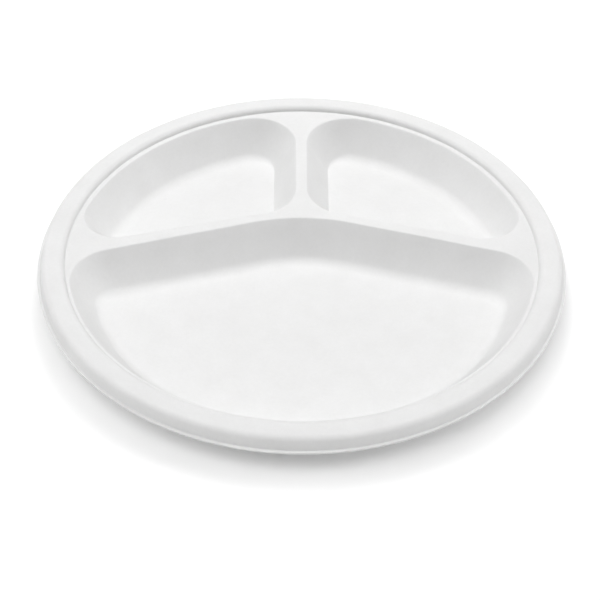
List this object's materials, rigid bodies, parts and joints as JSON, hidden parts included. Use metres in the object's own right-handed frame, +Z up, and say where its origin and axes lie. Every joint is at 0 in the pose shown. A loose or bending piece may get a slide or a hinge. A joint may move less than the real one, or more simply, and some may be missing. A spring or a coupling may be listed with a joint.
{
  "type": "compartment plate",
  "caption": "Round white moulded-pulp plate with a raised rolled rim, an outward lip, and open food compartments parted by low hollow dividers.",
  "frame": {"origin": "on the table under the middle of the plate, at the height of the undersides of the floors", "axes": "+Z up, out of the open top; +Y from the large compartment to the small ones; the YZ plane is the mirror plane"},
  "size_m": [0.26, 0.26, 0.0236],
  "materials": {
    "moulded_pulp": "matte"
  },
  "bodies": {
    "root": {"compartment_plate": "moulded_pulp"}
  },
  "joints": []
}
